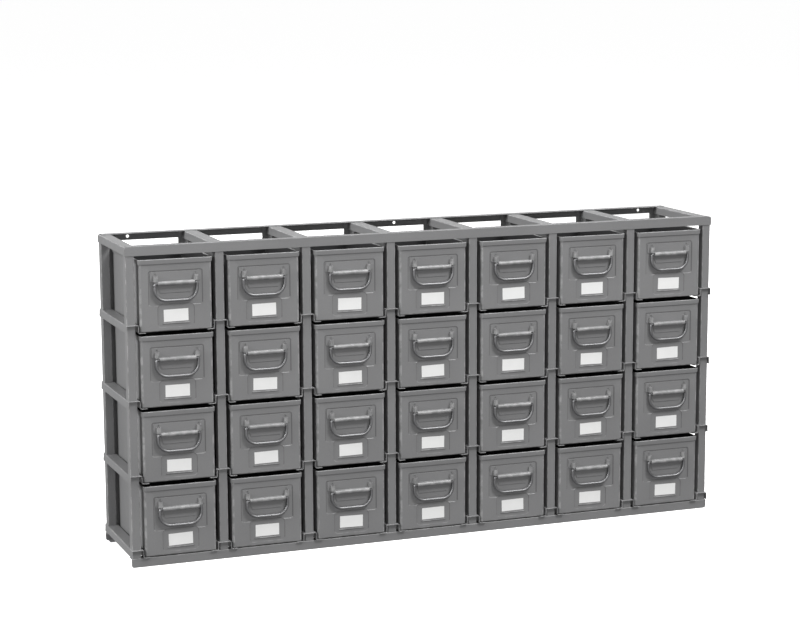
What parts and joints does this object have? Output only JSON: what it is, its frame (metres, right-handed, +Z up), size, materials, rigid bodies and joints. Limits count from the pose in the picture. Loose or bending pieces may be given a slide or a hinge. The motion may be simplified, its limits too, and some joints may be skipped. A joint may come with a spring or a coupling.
{
  "type": "bin storage rack",
  "caption": "Sheet steel bin rack: a welded grid of channels with ledges that carry rows of pull-out tote bins, each with a swinging wire handle and a label card.",
  "frame": {"origin": "On the floor, under the middle of the whole rack.", "axes": "+X to the right as seen from the front, +Y to the back, +Z up. The bins pull out along -Y."},
  "size_m": [1.8076, 0.332, 0.9026],
  "materials": {
    "frame_paint": "satin grey enamel",
    "bin_paint": "satin grey enamel",
    "plated_wire": "bright plated round wire"
  },
  "bodies": {
    "rack": {"ladder_frame": "frame_paint", "front_bottom_rail": "frame_paint", "front_top_rail": "frame_paint", "rear_top_rail": "frame_paint"},
    "bin_1_1": {"bin_row1_col1": "bin_paint"},
    "bin_1_1_bail": {"bin_row1_col1_handle": "plated_wire"},
    "bin_1_2": {"bin_row1_col2": "bin_paint"},
    "bin_1_2_bail": {"bin_row1_col2_handle": "plated_wire"},
    "bin_1_3": {"bin_row1_col3": "bin_paint"},
    "bin_1_3_bail": {"bin_row1_col3_handle": "plated_wire"},
    "bin_1_4": {"bin_row1_col4": "bin_paint"},
    "bin_1_4_bail": {"bin_row1_col4_handle": "plated_wire"},
    "bin_1_5": {"bin_row1_col5": "bin_paint"},
    "bin_1_5_bail": {"bin_row1_col5_handle": "plated_wire"},
    "bin_1_6": {"bin_row1_col6": "bin_paint"},
    "bin_1_6_bail": {"bin_row1_col6_handle": "plated_wire"},
    "bin_1_7": {"bin_row1_col7": "bin_paint"},
    "bin_1_7_bail": {"bin_row1_col7_handle": "plated_wire"},
    "bin_2_1": {"bin_row2_col1": "bin_paint"},
    "bin_2_1_bail": {"bin_row2_col1_handle": "plated_wire"},
    "bin_2_2": {"bin_row2_col2": "bin_paint"},
    "bin_2_2_bail": {"bin_row2_col2_handle": "plated_wire"},
    "bin_2_3": {"bin_row2_col3": "bin_paint"},
    "bin_2_3_bail": {"bin_row2_col3_handle": "plated_wire"},
    "bin_2_4": {"bin_row2_col4": "bin_paint"},
    "bin_2_4_bail": {"bin_row2_col4_handle": "plated_wire"},
    "bin_2_5": {"bin_row2_col5": "bin_paint"},
    "bin_2_5_bail": {"bin_row2_col5_handle": "plated_wire"},
    "bin_2_6": {"bin_row2_col6": "bin_paint"},
    "bin_2_6_bail": {"bin_row2_col6_handle": "plated_wire"},
    "bin_2_7": {"bin_row2_col7": "bin_paint"},
    "bin_2_7_bail": {"bin_row2_col7_handle": "plated_wire"},
    "bin_3_1": {"bin_row3_col1": "bin_paint"},
    "bin_3_1_bail": {"bin_row3_col1_handle": "plated_wire"},
    "bin_3_2": {"bin_row3_col2": "bin_paint"},
    "bin_3_2_bail": {"bin_row3_col2_handle": "plated_wire"},
    "bin_3_3": {"bin_row3_col3": "bin_paint"},
    "bin_3_3_bail": {"bin_row3_col3_handle": "plated_wire"},
    "bin_3_4": {"bin_row3_col4": "bin_paint"},
    "bin_3_4_bail": {"bin_row3_col4_handle": "plated_wire"},
    "bin_3_5": {"bin_row3_col5": "bin_paint"},
    "bin_3_5_bail": {"bin_row3_col5_handle": "plated_wire"},
    "bin_3_6": {"bin_row3_col6": "bin_paint"},
    "bin_3_6_bail": {"bin_row3_col6_handle": "plated_wire"},
    "bin_3_7": {"bin_row3_col7": "bin_paint"},
    "bin_3_7_bail": {"bin_row3_col7_handle": "plated_wire"},
    "bin_4_1": {"bin_row4_col1": "bin_paint"},
    "bin_4_1_bail": {"bin_row4_col1_handle": "plated_wire"},
    "bin_4_2": {"bin_row4_col2": "bin_paint"},
    "bin_4_2_bail": {"bin_row4_col2_handle": "plated_wire"},
    "bin_4_3": {"bin_row4_col3": "bin_paint"},
    "bin_4_3_bail": {"bin_row4_col3_handle": "plated_wire"},
    "bin_4_4": {"bin_row4_col4": "bin_paint"},
    "bin_4_4_bail": {"bin_row4_col4_handle": "plated_wire"},
    "bin_4_5": {"bin_row4_col5": "bin_paint"},
    "bin_4_5_bail": {"bin_row4_col5_handle": "plated_wire"},
    "bin_4_6": {"bin_row4_col6": "bin_paint"},
    "bin_4_6_bail": {"bin_row4_col6_handle": "plated_wire"},
    "bin_4_7": {"bin_row4_col7": "bin_paint"},
    "bin_4_7_bail": {"bin_row4_col7_handle": "plated_wire"}
  },
  "joints": [
    {"name": "bin_1_1_pull", "type": "slide", "parent": "rack", "child": "bin_1_1", "axis": [0, -1, 0], "range_m": [0, 0.33]},
    {"name": "bin_1_1_bail_swing", "type": "hinge", "parent": "bin_1_1", "child": "bin_1_1_bail", "pos_m": [-0.762, -0.1597, 0.7978], "axis": [-1, 0, 0], "range_deg": [0, 90]},
    {"name": "bin_1_2_pull", "type": "slide", "parent": "rack", "child": "bin_1_2", "axis": [0, -1, 0], "range_m": [0, 0.33]},
    {"name": "bin_1_2_bail_swing", "type": "hinge", "parent": "bin_1_2", "child": "bin_1_2_bail", "pos_m": [-0.508, -0.1597, 0.7978], "axis": [-1, 0, 0], "range_deg": [0, 90]},
    {"name": "bin_1_3_pull", "type": "slide", "parent": "rack", "child": "bin_1_3", "axis": [0, -1, 0], "range_m": [0, 0.33]},
    {"name": "bin_1_3_bail_swing", "type": "hinge", "parent": "bin_1_3", "child": "bin_1_3_bail", "pos_m": [-0.254, -0.1597, 0.7978], "axis": [-1, 0, 0], "range_deg": [0, 90]},
    {"name": "bin_1_4_pull", "type": "slide", "parent": "rack", "child": "bin_1_4", "axis": [0, -1, 0], "range_m": [0, 0.33]},
    {"name": "bin_1_4_bail_swing", "type": "hinge", "parent": "bin_1_4", "child": "bin_1_4_bail", "pos_m": [0, -0.1597, 0.7978], "axis": [-1, 0, 0], "range_deg": [0, 90]},
    {"name": "bin_1_5_pull", "type": "slide", "parent": "rack", "child": "bin_1_5", "axis": [0, -1, 0], "range_m": [0, 0.33]},
    {"name": "bin_1_5_bail_swing", "type": "hinge", "parent": "bin_1_5", "child": "bin_1_5_bail", "pos_m": [0.254, -0.1597, 0.7978], "axis": [-1, 0, 0], "range_deg": [0, 90]},
    {"name": "bin_1_6_pull", "type": "slide", "parent": "rack", "child": "bin_1_6", "axis": [0, -1, 0], "range_m": [0, 0.33]},
    {"name": "bin_1_6_bail_swing", "type": "hinge", "parent": "bin_1_6", "child": "bin_1_6_bail", "pos_m": [0.508, -0.1597, 0.7978], "axis": [-1, 0, 0], "range_deg": [0, 90]},
    {"name": "bin_1_7_pull", "type": "slide", "parent": "rack", "child": "bin_1_7", "axis": [0, -1, 0], "range_m": [0, 0.33]},
    {"name": "bin_1_7_bail_swing", "type": "hinge", "parent": "bin_1_7", "child": "bin_1_7_bail", "pos_m": [0.762, -0.1597, 0.7978], "axis": [-1, 0, 0], "range_deg": [0, 90]},
    {"name": "bin_2_1_pull", "type": "slide", "parent": "rack", "child": "bin_2_1", "axis": [0, -1, 0], "range_m": [0, 0.33]},
    {"name": "bin_2_1_bail_swing", "type": "hinge", "parent": "bin_2_1", "child": "bin_2_1_bail", "pos_m": [-0.762, -0.1597, 0.5859], "axis": [-1, 0, 0], "range_deg": [0, 90]},
    {"name": "bin_2_2_pull", "type": "slide", "parent": "rack", "child": "bin_2_2", "axis": [0, -1, 0], "range_m": [0, 0.33]},
    {"name": "bin_2_2_bail_swing", "type": "hinge", "parent": "bin_2_2", "child": "bin_2_2_bail", "pos_m": [-0.508, -0.1597, 0.5859], "axis": [-1, 0, 0], "range_deg": [0, 90]},
    {"name": "bin_2_3_pull", "type": "slide", "parent": "rack", "child": "bin_2_3", "axis": [0, -1, 0], "range_m": [0, 0.33]},
    {"name": "bin_2_3_bail_swing", "type": "hinge", "parent": "bin_2_3", "child": "bin_2_3_bail", "pos_m": [-0.254, -0.1597, 0.5859], "axis": [-1, 0, 0], "range_deg": [0, 90]},
    {"name": "bin_2_4_pull", "type": "slide", "parent": "rack", "child": "bin_2_4", "axis": [0, -1, 0], "range_m": [0, 0.33]},
    {"name": "bin_2_4_bail_swing", "type": "hinge", "parent": "bin_2_4", "child": "bin_2_4_bail", "pos_m": [0, -0.1597, 0.5859], "axis": [-1, 0, 0], "range_deg": [0, 90]},
    {"name": "bin_2_5_pull", "type": "slide", "parent": "rack", "child": "bin_2_5", "axis": [0, -1, 0], "range_m": [0, 0.33]},
    {"name": "bin_2_5_bail_swing", "type": "hinge", "parent": "bin_2_5", "child": "bin_2_5_bail", "pos_m": [0.254, -0.1597, 0.5859], "axis": [-1, 0, 0], "range_deg": [0, 90]},
    {"name": "bin_2_6_pull", "type": "slide", "parent": "rack", "child": "bin_2_6", "axis": [0, -1, 0], "range_m": [0, 0.33]},
    {"name": "bin_2_6_bail_swing", "type": "hinge", "parent": "bin_2_6", "child": "bin_2_6_bail", "pos_m": [0.508, -0.1597, 0.5859], "axis": [-1, 0, 0], "range_deg": [0, 90]},
    {"name": "bin_2_7_pull", "type": "slide", "parent": "rack", "child": "bin_2_7", "axis": [0, -1, 0], "range_m": [0, 0.33]},
    {"name": "bin_2_7_bail_swing", "type": "hinge", "parent": "bin_2_7", "child": "bin_2_7_bail", "pos_m": [0.762, -0.1597, 0.5859], "axis": [-1, 0, 0], "range_deg": [0, 90]},
    {"name": "bin_3_1_pull", "type": "slide", "parent": "rack", "child": "bin_3_1", "axis": [0, -1, 0], "range_m": [0, 0.33]},
    {"name": "bin_3_1_bail_swing", "type": "hinge", "parent": "bin_3_1", "child": "bin_3_1_bail", "pos_m": [-0.762, -0.1597, 0.374], "axis": [-1, 0, 0], "range_deg": [0, 90]},
    {"name": "bin_3_2_pull", "type": "slide", "parent": "rack", "child": "bin_3_2", "axis": [0, -1, 0], "range_m": [0, 0.33]},
    {"name": "bin_3_2_bail_swing", "type": "hinge", "parent": "bin_3_2", "child": "bin_3_2_bail", "pos_m": [-0.508, -0.1597, 0.374], "axis": [-1, 0, 0], "range_deg": [0, 90]},
    {"name": "bin_3_3_pull", "type": "slide", "parent": "rack", "child": "bin_3_3", "axis": [0, -1, 0], "range_m": [0, 0.33]},
    {"name": "bin_3_3_bail_swing", "type": "hinge", "parent": "bin_3_3", "child": "bin_3_3_bail", "pos_m": [-0.254, -0.1597, 0.374], "axis": [-1, 0, 0], "range_deg": [0, 90]},
    {"name": "bin_3_4_pull", "type": "slide", "parent": "rack", "child": "bin_3_4", "axis": [0, -1, 0], "range_m": [0, 0.33]},
    {"name": "bin_3_4_bail_swing", "type": "hinge", "parent": "bin_3_4", "child": "bin_3_4_bail", "pos_m": [0, -0.1597, 0.374], "axis": [-1, 0, 0], "range_deg": [0, 90]},
    {"name": "bin_3_5_pull", "type": "slide", "parent": "rack", "child": "bin_3_5", "axis": [0, -1, 0], "range_m": [0, 0.33]},
    {"name": "bin_3_5_bail_swing", "type": "hinge", "parent": "bin_3_5", "child": "bin_3_5_bail", "pos_m": [0.254, -0.1597, 0.374], "axis": [-1, 0, 0], "range_deg": [0, 90]},
    {"name": "bin_3_6_pull", "type": "slide", "parent": "rack", "child": "bin_3_6", "axis": [0, -1, 0], "range_m": [0, 0.33]},
    {"name": "bin_3_6_bail_swing", "type": "hinge", "parent": "bin_3_6", "child": "bin_3_6_bail", "pos_m": [0.508, -0.1597, 0.374], "axis": [-1, 0, 0], "range_deg": [0, 90]},
    {"name": "bin_3_7_pull", "type": "slide", "parent": "rack", "child": "bin_3_7", "axis": [0, -1, 0], "range_m": [0, 0.33]},
    {"name": "bin_3_7_bail_swing", "type": "hinge", "parent": "bin_3_7", "child": "bin_3_7_bail", "pos_m": [0.762, -0.1597, 0.374], "axis": [-1, 0, 0], "range_deg": [0, 90]},
    {"name": "bin_4_1_pull", "type": "slide", "parent": "rack", "child": "bin_4_1", "axis": [0, -1, 0], "range_m": [0, 0.33]},
    {"name": "bin_4_1_bail_swing", "type": "hinge", "parent": "bin_4_1", "child": "bin_4_1_bail", "pos_m": [-0.762, -0.1597, 0.1621], "axis": [-1, 0, 0], "range_deg": [0, 90]},
    {"name": "bin_4_2_pull", "type": "slide", "parent": "rack", "child": "bin_4_2", "axis": [0, -1, 0], "range_m": [0, 0.33]},
    {"name": "bin_4_2_bail_swing", "type": "hinge", "parent": "bin_4_2", "child": "bin_4_2_bail", "pos_m": [-0.508, -0.1597, 0.1621], "axis": [-1, 0, 0], "range_deg": [0, 90]},
    {"name": "bin_4_3_pull", "type": "slide", "parent": "rack", "child": "bin_4_3", "axis": [0, -1, 0], "range_m": [0, 0.33]},
    {"name": "bin_4_3_bail_swing", "type": "hinge", "parent": "bin_4_3", "child": "bin_4_3_bail", "pos_m": [-0.254, -0.1597, 0.1621], "axis": [-1, 0, 0], "range_deg": [0, 90]},
    {"name": "bin_4_4_pull", "type": "slide", "parent": "rack", "child": "bin_4_4", "axis": [0, -1, 0], "range_m": [0, 0.33]},
    {"name": "bin_4_4_bail_swing", "type": "hinge", "parent": "bin_4_4", "child": "bin_4_4_bail", "pos_m": [0, -0.1597, 0.1621], "axis": [-1, 0, 0], "range_deg": [0, 90]},
    {"name": "bin_4_5_pull", "type": "slide", "parent": "rack", "child": "bin_4_5", "axis": [0, -1, 0], "range_m": [0, 0.33]},
    {"name": "bin_4_5_bail_swing", "type": "hinge", "parent": "bin_4_5", "child": "bin_4_5_bail", "pos_m": [0.254, -0.1597, 0.1621], "axis": [-1, 0, 0], "range_deg": [0, 90]},
    {"name": "bin_4_6_pull", "type": "slide", "parent": "rack", "child": "bin_4_6", "axis": [0, -1, 0], "range_m": [0, 0.33]},
    {"name": "bin_4_6_bail_swing", "type": "hinge", "parent": "bin_4_6", "child": "bin_4_6_bail", "pos_m": [0.508, -0.1597, 0.1621], "axis": [-1, 0, 0], "range_deg": [0, 90]},
    {"name": "bin_4_7_pull", "type": "slide", "parent": "rack", "child": "bin_4_7", "axis": [0, -1, 0], "range_m": [0, 0.33]},
    {"name": "bin_4_7_bail_swing", "type": "hinge", "parent": "bin_4_7", "child": "bin_4_7_bail", "pos_m": [0.762, -0.1597, 0.1621], "axis": [-1, 0, 0], "range_deg": [0, 90]}
  ]
}
